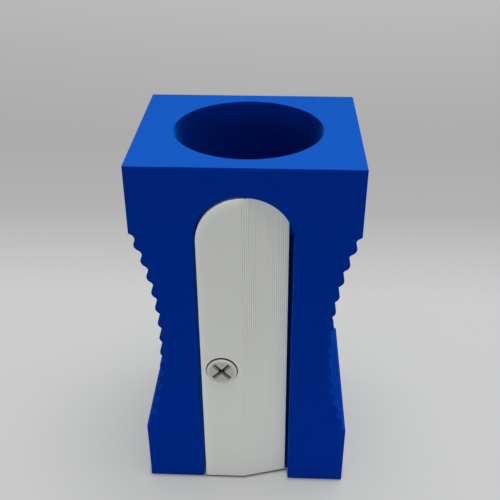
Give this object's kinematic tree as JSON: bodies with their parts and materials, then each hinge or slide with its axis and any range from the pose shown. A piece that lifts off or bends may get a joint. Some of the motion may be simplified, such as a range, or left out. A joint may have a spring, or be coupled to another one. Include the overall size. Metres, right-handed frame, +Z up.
{
  "type": "pencil holder",
  "caption": "Desk pencil holder shaped as a giant wedge sharpener: a ribbed, waisted block with a round well, a bevelled blade plate in its front and the cross-slot screw that holds it.",
  "frame": {"origin": "middle of the block's flat underside, below the axis of the pencil well", "axes": "+Z up along the well's axis, -Y out of the front that carries the blade plate, +X to the right seen from the front"},
  "size_m": [0.08, 0.0691, 0.143],
  "materials": {
    "body_blue": "satin printed plastic in fine level layers",
    "blade_white": "satin printed plastic, its bevel in fine steps",
    "screw_grey": "satin printed plastic"
  },
  "bodies": {
    "block": {"holder_block": "body_blue"},
    "blade": {"blade_plate": "blade_white"},
    "screw": {"blade_screw": "screw_grey"}
  },
  "joints": [
    {"name": "blade_lift", "type": "slide", "parent": "block", "child": "blade", "axis": [0, -1, 0], "range_m": [0, 0.007]},
    {"name": "screw_pull", "type": "slide", "parent": "blade", "child": "screw", "axis": [0, -1, 0], "range_m": [0, 0.007]}
  ]
}
